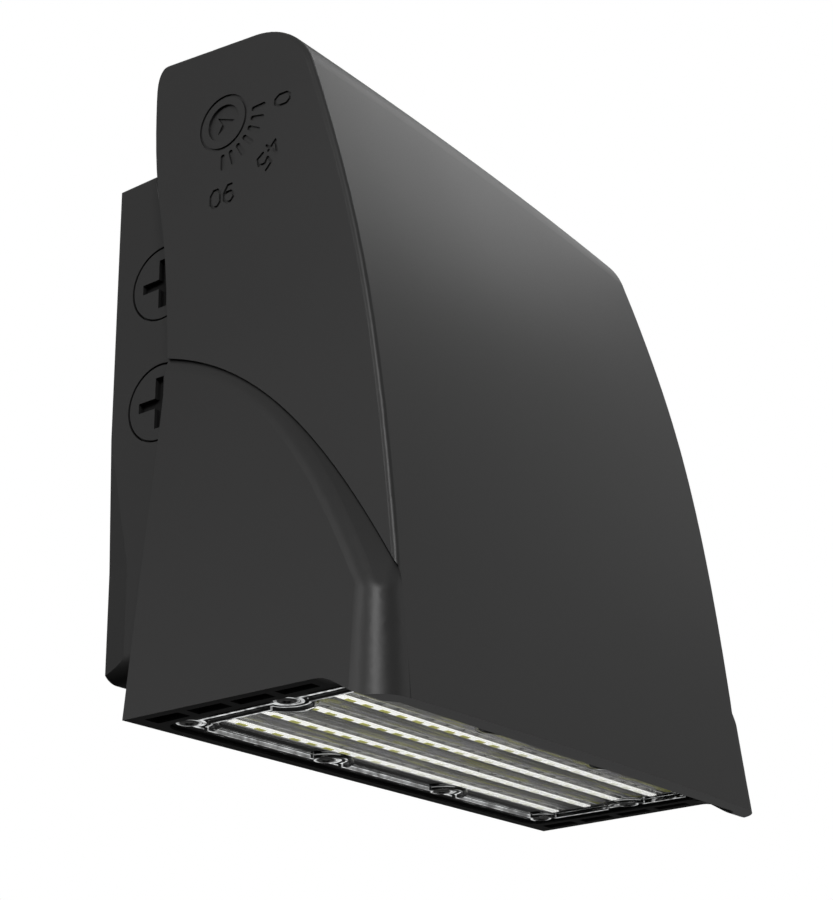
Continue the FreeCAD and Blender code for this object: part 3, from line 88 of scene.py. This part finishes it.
# ---------------------------------------------------------------- shader maths
class Value:
    """A value that varies over a surface, combined with plain arithmetic."""

    def __init__(self, nodes, socket):
        self.nodes = nodes
        self.socket = socket

    def _math(self, operation, a, b):
        return self.nodes.node("Math", {"operation": operation}, {0: a, 1: b})

    def __add__(self, other):
        return self._math("ADD", self, other)

    def __radd__(self, other):
        return self._math("ADD", other, self)

    def __sub__(self, other):
        return self._math("SUBTRACT", self, other)

    def __rsub__(self, other):
        return self._math("SUBTRACT", other, self)

    def __mul__(self, other):
        return self._math("MULTIPLY", self, other)

    def __rmul__(self, other):
        return self._math("MULTIPLY", other, self)

    def __truediv__(self, other):
        return self._math("DIVIDE", self, other)

    def __rtruediv__(self, other):
        return self._math("DIVIDE", other, self)

    def __pow__(self, other):
        return self._math("POWER", self, other)

    def __mod__(self, other):
        return self._math("FLOORED_MODULO", self, other)

    def __lt__(self, other):
        return self._math("LESS_THAN", self, other)

    def __gt__(self, other):
        return self._math("GREATER_THAN", self, other)

    def __abs__(self):
        return self._math("ABSOLUTE", self, 0.0)

    def least(self, other):
        return self._math("MINIMUM", self, other)

    def most(self, other):
        return self._math("MAXIMUM", self, other)


class Nodes:
    """An emptied node tree, filled by short calls."""

    def __init__(self, tree):
        self.tree = tree
        self.tree.nodes.clear()

    def node(self, kind, settings=None, sockets=None, out=0):
        """Any node: its type, its settings, then what its sockets hold."""
        made = self.tree.nodes.new("ShaderNode" + kind)
        for key, value in (settings or {}).items():
            if key == "stops":
                self._set_stops(made.color_ramp, value)
            else:
                setattr(made, key, value)
        for key, value in (sockets or {}).items():
            self.feed(made.inputs[key], value)
        return Value(self, made.outputs[out])

    def _set_stops(self, ramp, stops):
        while len(ramp.elements) < len(stops):
            ramp.elements.new(0.5)
        for element, (place, colour) in zip(ramp.elements, stops):
            element.position = place
            element.color = colour

    def feed(self, socket, value):
        if isinstance(value, Value):
            self.tree.links.new(value.socket, socket)
        else:
            socket.default_value = value

    def split(self, vector):
        """The three parts of a vector."""
        parts = self.tree.nodes.new("ShaderNodeSeparateXYZ")
        self.feed(parts.inputs[0], vector)
        return [Value(self, part) for part in parts.outputs]

    def mix(self, factor, a, b):
        return self.node("Mix", {"data_type": "RGBA"}, {0: factor, 6: a, 7: b}, out=2)

    def ramp(self, value, low, high, start=0.0, end=1.0):
        """start at low, end at high, a straight line between."""
        return self.node("MapRange", {"clamp": True},
                         {0: value, 1: low, 2: high, 3: start, 4: end})


class Finish(Nodes):
    """One material: a Principled shader and patterns on Object coordinates."""

    def __init__(self, name, **constants):
        self.material = bpy.data.materials.new(name)
        self.material.use_nodes = True
        super().__init__(self.material.node_tree)
        self.shader = self.principled(**constants)
        self.output = self.tree.nodes.new("ShaderNodeOutputMaterial")
        self.tree.links.new(self.shader.outputs[0], self.output.inputs[0])
        self.place = self.node("TexCoord", out="Object")

    def principled(self, **constants):
        shader = self.tree.nodes.new("ShaderNodeBsdfPrincipled")
        for socket, value in constants.items():
            shader.inputs[socket.replace("_", " ")].default_value = value
        return shader

    def set(self, name, value, shader=None):
        self.feed((shader or self.shader).inputs[name], value)

    def blend(self, mask, other):
        """Shows the other shader where the mask is 1."""
        both = self.tree.nodes.new("ShaderNodeMixShader")
        self.feed(both.inputs[0], mask)
        self.tree.links.new(self.shader.outputs[0], both.inputs[1])
        self.tree.links.new(other.outputs[0], both.inputs[2])
        self.tree.links.new(both.outputs[0], self.output.inputs[0])

    def axes(self):
        return self.split(self.place)

    def upward(self):
        """How far the piece's own surface faces up, from 1 to -1."""
        return self.split(self.node("TexCoord", out="Normal"))[2]

    def noise(self, scale, detail=2.0, roughness=0.5, place=None):
        return self.node("TexNoise", {}, {"Vector": place or self.place, "Scale": scale,
                                          "Detail": detail, "Roughness": roughness})

    def streaks(self, per_x, per_y, detail, roughness=0.5):
        """Noise drawn out along x: its grains per metre along x and along y."""
        x, y, z = self.axes()
        place = self.node("CombineXYZ", {}, {0: x * per_x, 1: y * per_y, 2: z})
        return self.noise(1.0, detail, roughness, place)

    def bump(self, height, strength, depth):
        normal = self.node("Bump", {}, {"Strength": strength, "Distance": depth, "Height": height})
        self.set("Normal", normal)


def grey(level, tint=(1.0, 1.0, 1.0)):
    return (level * tint[0], level * tint[1], level * tint[2], 1.0)


BLACK = grey(0.0)
WHITE = grey(1.0)


# ---------------------------------------------------------------- castings, screws and seals
def powder_coat(name, level, rough):
    """Dark textured powder coat on die-cast aluminium."""
    f = Finish(name, Metallic=0.0, Specular_IOR_Level=0.42)
    broad = f.noise(14.0, 3.0)
    speck = f.noise(2600.0, 1.0)
    peel = f.noise(720.0, 2.0)
    tone = f.ramp(broad * 0.6 + speck * 0.4, 0.3, 0.75)
    f.set("Base Color", f.mix(tone, grey(level * 0.9, (1.0, 0.99, 0.98)),
                              grey(level * 1.12, (1.0, 0.99, 0.985))))
    f.set("Roughness", rough + (broad - 0.5) * 0.05 + (speck - 0.5) * 0.08)
    f.bump(peel * 0.7 + speck * 0.3, 0.12, 0.00008)
    return f


def head_coat(name, level, rough):
    """The powder coat, with painted light: a faint glow painted on the underside of the front lip.
    """
    f = powder_coat(name, level, rough)
    f.set("Emission Strength", 1.0)
    y, z = f.axes()[1:]
    # painted light: the underside of the front lip glows faintly
    lip = (f.upward() < -0.3) * (z < LIP_TOP_Z) * (y < LIP_REAR_Y)
    f.set("Emission Color", f.mix(lip, BLACK, grey(0.033)))
    return f


def plug_coat(name, level, rough):
    """Powder coat whose slots darken to near black with depth: painted shade."""
    f = Finish(name, Specular_IOR_Level=0.42)
    broad = f.noise(14.0, 3.0)
    peel = f.noise(900.0, 2.0)
    # painted shade: the slots darken to near black towards their floors
    painted_slot_shade = f.ramp(abs(f.axes()[0]), SLOT_MOUTH_X, SLOT_FLOOR_X)
    f.set("Base Color", f.mix(painted_slot_shade, grey(level), grey(0.0008)))
    f.set("Roughness", rough + (broad - 0.5) * 0.05 + painted_slot_shade * 0.4)
    f.bump(peel, 0.12, 0.00008)
    return f


def zinc_steel(name):
    f = Finish(name, Metallic=1.0)
    rub = f.noise(900.0, 3.0)
    f.set("Base Color", f.mix(f.ramp(rub, 0.3, 0.7), grey(0.52, (1.0, 1.0, 0.98)), grey(0.72)))
    f.set("Roughness", 0.22 + rub * 0.16)
    f.bump(rub, 0.1, 0.00003)
    return f


def rubber(name, level):
    f = Finish(name, Specular_IOR_Level=0.3)
    fine = f.noise(1500.0, 2.0)
    f.set("Base Color", f.mix(fine, grey(level * 0.8), grey(level * 1.3)))
    f.set("Roughness", 0.68 + fine * 0.12)
    f.bump(fine, 0.15, 0.00005)
    return f


def moulded(name, level, tint):
    f = Finish(name, Specular_IOR_Level=0.45)
    spark = f.noise(1400.0, 2.0)
    f.set("Base Color", f.mix(spark, grey(level * 0.95, tint), grey(level * 1.04, tint)))
    f.set("Roughness", 0.42 + spark * 0.1)
    f.bump(spark, 0.12, 0.00004)
    return f


# ---------------------------------------------------------------- boards, reflector and lens
def board_body(name):
    """Glass-cloth board with faint copper tracks."""
    f = Finish(name, Specular_IOR_Level=0.4)
    weave = f.noise(1800.0, 2.0)
    tracks_per_metre = 260.0
    track = f.ramp(abs((f.axes()[0] * tracks_per_metre) % 1.0 - 0.5), 0.42, 0.5)
    f.set("Base Color", f.mix(track * 0.5, grey(0.05, (1.0, 1.0, 0.9)),
                              grey(0.12, (1.0, 0.95, 0.7))))
    f.set("Roughness", 0.4 + weave * 0.1)
    return f


def board_white(name):
    """White face of a lit board, slightly uneven along its length."""
    f = Finish(name, Emission_Strength=1.35, Roughness=0.4)
    clean = grey(0.95, (1.0, 1.0, 0.98))
    dull = grey(0.9, (1.0, 1.0, 0.96))
    patch = f.noise(420.0, 2.0)
    f.set("Base Color", f.mix(patch, clean, dull))
    f.set("Emission Color", f.mix(f.ramp(patch, 0.3, 0.7), clean, dull))
    return f


def phosphor(name):
    """Olive phosphor that fades to white towards the right end, sooner in the rear rows."""
    f = Finish(name, Emission_Strength=1.1, Roughness=0.4)
    x, y = f.axes()[:2]
    row_lag = 0.6
    fade_start = -0.062
    fade_end = -0.030
    far = f.ramp(x + y * row_lag, fade_start, fade_end)
    pale_olive = (0.40, 0.39, 0.07, 1.0)
    deep_olive = (0.27, 0.27, 0.03, 1.0)
    olive = f.mix(f.ramp(f.noise(420.0, 2.0), 0.3, 0.7), pale_olive, deep_olive)
    f.set("Base Color", olive)
    f.set("Emission Color", f.mix(far, olive, grey(0.95, (1.0, 1.0, 0.95))))
    return f


def behind_strip(y):
    """Millimetres to the rear of the strip in front, counted from just behind its edge."""
    shade_start = 0.0025
    return ((y - ROWS[0] - shade_start) % ROW_PITCH) / MM


def mirror_plate(name):
    """Reflector whose light is painted on as emission: smeared painted reflections of the chips
    between the rows, painted shade behind each strip, a painted glint and a painted sheen on the
    flange behind the rear row.
    """
    f = Finish(name, Emission_Strength=1.0, Metallic=1.0)
    y = f.axes()[1]
    blotch = f.streaks(55.0, 280.0, 3.0, 0.6)
    fine = f.streaks(22.0, 520.0, 2.0)
    behind = behind_strip(y)

    # painted reflection of the chips: lilac and olive smears
    lilac = grey(0.065, (1.0, 0.97, 1.1))
    olive = (0.12, 0.12, 0.01, 1.0)
    painted_chip_reflection = f.mix(f.ramp(blotch, 0.48, 0.54), lilac, olive)
    painted_chip_reflection = f.mix(f.ramp(fine, 0.46, 0.56), painted_chip_reflection, grey(0.008, (1.0, 1.0, 0.7)))
    # painted shade just behind each strip
    shade = f.mix(f.ramp(fine, 0.3, 0.8), grey(0.02), grey(0.006))
    shade_end = 2.0
    reflection_start = 3.0
    glint = 7.7
    glint_half = 0.4
    gap_start = 8.3
    between = f.mix(f.ramp(behind, shade_end, reflection_start), shade, painted_chip_reflection)
    # painted glint: a thin bright line between the rows
    between = f.mix(abs(behind - glint) < glint_half, between, grey(0.32))
    # painted shade: a near-black gap ahead of the next strip
    between = f.mix(behind > gap_start, between, grey(0.003))

    # painted sheen: light and dark bands across the flange behind the rear row
    flange_start = ROWS[0] + 0.0024
    flange_end = ROWS[0] + 0.0058
    stops = [(0.0, grey(0.11)), (0.2, grey(0.2)), (0.45, grey(0.3)), (0.8, grey(0.12)),
             (1.0, grey(0.02))]
    flange = f.node("ValToRGB", {"stops": stops}, {0: f.ramp(y, flange_start, flange_end)})

    # all of the reflector's light above is painted, given as emission
    f.set("Emission Color", f.mix(y > flange_start, between, flange))
    f.set("Base Color", f.mix(fine, grey(0.02, (1.0, 1.0, 0.97)), grey(0.04)))
    f.set("Roughness", 0.2 + fine * 0.15)
    return f


def bead_distance(x, y):
    """Millimetres outside the bead that skirts the screws, and from the nearest screw."""
    centre_y = (BEAD_REAR_Y + BEAD_FRONT_Y) / 2
    half_y = (BEAD_REAR_Y - BEAD_FRONT_Y) / 2
    edge = (abs(x) - BEAD_HALF_X).most(abs(y - centre_y) - half_y)
    screw = None
    for place in RIGHT_SCREWS:
        across = abs(x) - place.x
        along = y - place.y
        gap = (across * across + along * along) ** 0.5
        screw = gap if screw is None else screw.least(gap)
    return edge.most(BEAD_ROUND_SCREW - screw) / MM, screw / MM


def clear_plastic(name):
    """Clear lens: open in the middle, black behind its rim, with the bead lines and screw rings as
    painted highlights that glow, a faint painted glow on the rim's front, and painted shade behind
    the rear row.
    """
    f = Finish(name, Transmission_Weight=1.0, IOR=1.42)
    x, y = f.axes()[:2]
    haze = f.noise(500.0, 2.0)
    # painted shade: the lens is greyed behind the rear row
    painted_rear_shade = f.ramp(y, ROWS[0] + 0.0016, ROWS[0] + 0.0031)
    clear = f.mix(haze, grey(0.98, (0.99, 1.0, 0.995)), WHITE)
    f.set("Base Color", f.mix(painted_rear_shade, clear, grey(0.66)))
    f.set("Roughness", 0.004 + haze * 0.008)

    # places and half widths of the painted highlight lines and screw rings, in mm
    rim_start = -1.3
    ring_radius, ring_half = 3.3, 0.35
    outer_at, outer_half = 1.9, 0.5
    inner_back, inner_half = 0.2, 0.34
    outside, screw = bead_distance(x, y)
    wander = (f.noise(260.0, 1.0) - 0.5) * 0.5
    inner_line = abs(outside + wander + inner_back) < inner_half
    outer_line = abs(outside + wander - outer_at) < outer_half
    screw_ring = abs(screw - ring_radius) < ring_half
    bright = inner_line.most(outer_line).most(screw_ring)
    # the painted highlights glow more on flat faces
    flat = f.ramp(abs(f.upward()), 0.5, 0.8)
    level = (f.ramp(f.noise(330.0, 2.0), 0.36, 0.6) * 0.75 + 0.12) * (flat * 0.75 + 0.25)
    line = f.mix(level, grey(0.05), grey(0.85, (0.98, 1.0, 1.0)))
    # painted light: a faint glow on the front of the rim
    front = f.ramp(y, BEAD_FRONT_Y + 0.0001, BEAD_FRONT_Y - 0.0005)
    ground = f.mix(front, BLACK, grey(0.034))

    # rim: near black, with the painted highlights given as emission
    rim = f.principled(Roughness=0.3, Emission_Strength=1.0)
    f.set("Base Color", f.mix(bright, grey(0.008), grey(0.6)), rim)
    f.set("Emission Color", f.mix(bright * (1.0 - front), ground, line), rim)
    f.blend(outside > rim_start, rim)
    return f


HEAD_COAT = head_coat("head_powder_coat", 0.022, 0.44)
BOX_COAT = powder_coat("box_powder_coat", 0.019, 0.5)
PLUG_COAT = plug_coat("plug_powder_coat", 0.018, 0.5)
HUB_COAT = powder_coat("hub_powder_coat", 0.022, 0.42)
STEEL = zinc_steel("zinc_steel")
SEAL = rubber("black_silicone", 0.02)
BOARD = board_body("board_body")
STRIP = board_white("board_white")
PHOSPHOR = phosphor("phosphor")
MIRROR = mirror_plate("aluminised_plate")
CLEAR = clear_plastic("clear_lens_plastic")
DRIVER = moulded("driver_grey", 0.5, (0.98, 1.0, 1.0))
BLOCK = moulded("block_white", 0.72, (1.0, 1.0, 0.95))

# a CAD node wears the first finish whose word is in its name, and otherwise zinc steel
FINISH_BY_WORD = [
    ("gasket", SEAL),
    ("seal", SEAL),
    ("grommet", SEAL),
    ("screw", STEEL),
    ("head_housing", HEAD_COAT),
    ("mounting_box", BOX_COAT),
    ("cover", BOX_COAT),
    ("conduit_plug", PLUG_COAT),
    ("pivot_hub", HUB_COAT),
    ("led_board", BOARD),
    ("reflector", MIRROR),
    ("lens", CLEAR),
    ("driver_case", DRIVER),
    ("wiring_block", BLOCK),
]


def finish_for(node):
    for word, finish in FINISH_BY_WORD:
        if word in node:
            return finish
    return STEEL


def wear(obj, finish):
    obj.data.materials.clear()
    obj.data.materials.append(finish.material)


for name, obj in NODES.items():
    wear(obj, finish_for(name))


# ---------------------------------------------------------------- faces of the LED boards
def made_from(name, bm):
    """A new object that holds the bmesh, at the origin."""
    mesh = bpy.data.meshes.new(name)
    bm.to_mesh(mesh)
    bm.free()
    obj = bpy.data.objects.new(name, mesh)
    bpy.context.scene.collection.objects.link(obj)
    return obj


def boxes(name, spans):
    """One object of plain boxes, each given by its two opposite corners."""
    bm = bmesh.new()
    for low, high in spans:
        size = Matrix.Diagonal(high - low).to_4x4()
        bmesh.ops.create_cube(bm, size=1.0, matrix=Matrix.Translation((low + high) / 2) @ size)
    return made_from(name, bm)


def board_strip(number, y):
    """White face of one board, just below the reflector."""
    low = Vector((-STRIP_HALF_X, y - STRIP_HALF_Y, STRIP_TOP - STRIP_THICK))
    high = Vector((STRIP_HALF_X, y + STRIP_HALF_Y, STRIP_TOP))
    strip = boxes("board_face_%d" % number, [(low, high)])
    wear(strip, STRIP)
    return strip


def board_chips(number, y):
    """Row of phosphor chips along the rear edge of one board's face."""
    rear = y + STRIP_HALF_Y - CHIP_INSET
    face = STRIP_TOP - STRIP_THICK
    spans = []
    for place in range(CHIP_COUNT):
        x = (place - (CHIP_COUNT - 1) / 2) * CHIP_PITCH
        low = Vector((x - CHIP_SIZE_X / 2, rear - CHIP_SIZE_Y, face - CHIP_PROUD))
        high = Vector((x + CHIP_SIZE_X / 2, rear, face + CHIP_SINK))
        spans.append((low, high))
    chips = boxes("phosphor_chips_%d" % number, spans)
    wear(chips, PHOSPHOR)
    return chips


for number, row in enumerate(ROWS, 1):
    for piece in (board_strip(number, row + STRIP_SHIFT), board_chips(number, row + STRIP_SHIFT)):
        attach(piece, "lamp_head")


# ---------------------------------------------------------------- light, floor and camera
AIM = Vector((0.0, -0.06, 0.01))
LAMP_DISTANCE = 1.6
# name, direction from the aim, side of the square softbox, watts
SOFT_LAMPS = [
    ("top_lamp", (0.65, -0.1, 0.78), 0.6, 2.1),
    ("top_front_lamp", (0.5, -0.3, 0.8), 0.6, 0.6),
    ("right_lamp", (0.8, -0.39, 0.47), 0.6, 0.36),
    ("right_low_lamp", (0.75, -0.65, 0.1), 0.6, 0.35),
    ("front_lamp", (0.5, -0.8, 0.3), 0.6, 0.7),
    ("back_left_lamp", (-0.76, 0.6, 0.15), 0.6, 1.2),
    ("left_edge_lamp", (-0.88, 0.16, 0.36), 0.35, 3.5),
    ("front_edge_lamp", (-0.70, -0.60, 0.39), 0.35, 10.0),
]
# the room's light, and between which slopes of a ray it fades to the dimmer one
ROOM_LIGHT = 0.26
ROOM_LIGHT_BELOW = 0.03
DARK_BELOW = 0.28
FULL_ABOVE = -0.12
FLOOR_HALF = 3.0
FLOOR_Z = -0.95
EYE = Vector((-0.4492, -0.3769, -0.2290))
EYE_RIGHT = Vector((0.5903, -0.8068, -0.0257))
EYE_UP = Vector((-0.2994, -0.2485, 0.9212))
EYE_AHEAD = Vector((0.7496, 0.5361, 0.3882))
FOCAL_LENGTH_MM = 72.336
SENSOR_MM = 36.0


def set_camera():
    """The camera of the photograph."""
    data = bpy.data.cameras.new("camera")
    data.sensor_fit = "AUTO"
    data.sensor_width = SENSOR_MM
    data.lens = FOCAL_LENGTH_MM
    data.clip_start = 0.01
    data.clip_end = 50.0
    eye = bpy.data.objects.new("camera", data)
    turn = Matrix((EYE_RIGHT, EYE_UP, -EYE_AHEAD)).transposed().to_4x4()
    eye.matrix_world = Matrix.Translation(EYE) @ turn
    bpy.context.scene.collection.objects.link(eye)
    bpy.context.scene.camera = eye


def soft_lamp(name, direction, side, watts):
    """A square softbox that faces the wall pack."""
    data = bpy.data.lights.new(name, "AREA")
    data.shape = "RECTANGLE"
    data.size = side
    data.size_y = side
    data.energy = watts
    lamp = bpy.data.objects.new(name, data)
    spot = AIM + Vector(direction).normalized() * LAMP_DISTANCE
    turn = (AIM - spot).to_track_quat("-Z", "Y").to_matrix().to_4x4()
    lamp.matrix_world = Matrix.Translation(spot) @ turn
    bpy.context.scene.collection.objects.link(lamp)


def light_room():
    """Dim room, darker below, which the camera itself sees as plain white."""
    world = bpy.data.worlds.new("studio")
    bpy.context.scene.world = world
    world.use_nodes = True
    sky = Nodes(world.node_tree)
    from_below = sky.split(sky.node("NewGeometry", out="Incoming"))[2]
    light = sky.ramp(from_below, DARK_BELOW, FULL_ABOVE, ROOM_LIGHT_BELOW, ROOM_LIGHT)
    camera_ray = sky.node("LightPath", out="Is Camera Ray")
    strength = sky.node("Mix", {"data_type": "FLOAT"}, {0: camera_ray, 2: light, 3: 1.0})
    shine = sky.node("Background", {}, {"Color": WHITE, "Strength": strength})
    end = sky.tree.nodes.new("ShaderNodeOutputWorld")
    sky.feed(end.inputs["Surface"], shine)


def lay_floor():
    """Plain pale floor, well below the wall pack, which it doesn't light."""
    bm = bmesh.new()
    bmesh.ops.create_grid(bm, x_segments=1, y_segments=1, size=FLOOR_HALF,
                          matrix=Matrix.Translation((0.0, 0.0, FLOOR_Z)))
    floor = made_from("floor", bm)
    paint = Finish("floor_paint", Roughness=0.8)
    paint.set("Base Color", paint.mix(paint.noise(3.0), grey(0.78), grey(0.8)))
    wear(floor, paint)
    floor.visible_glossy = False
    floor.visible_diffuse = False


bpy.context.scene.view_settings.view_transform = "Standard"
set_camera()
light_room()
lay_floor()
for lamp in SOFT_LAMPS:
    soft_lamp(*lamp)
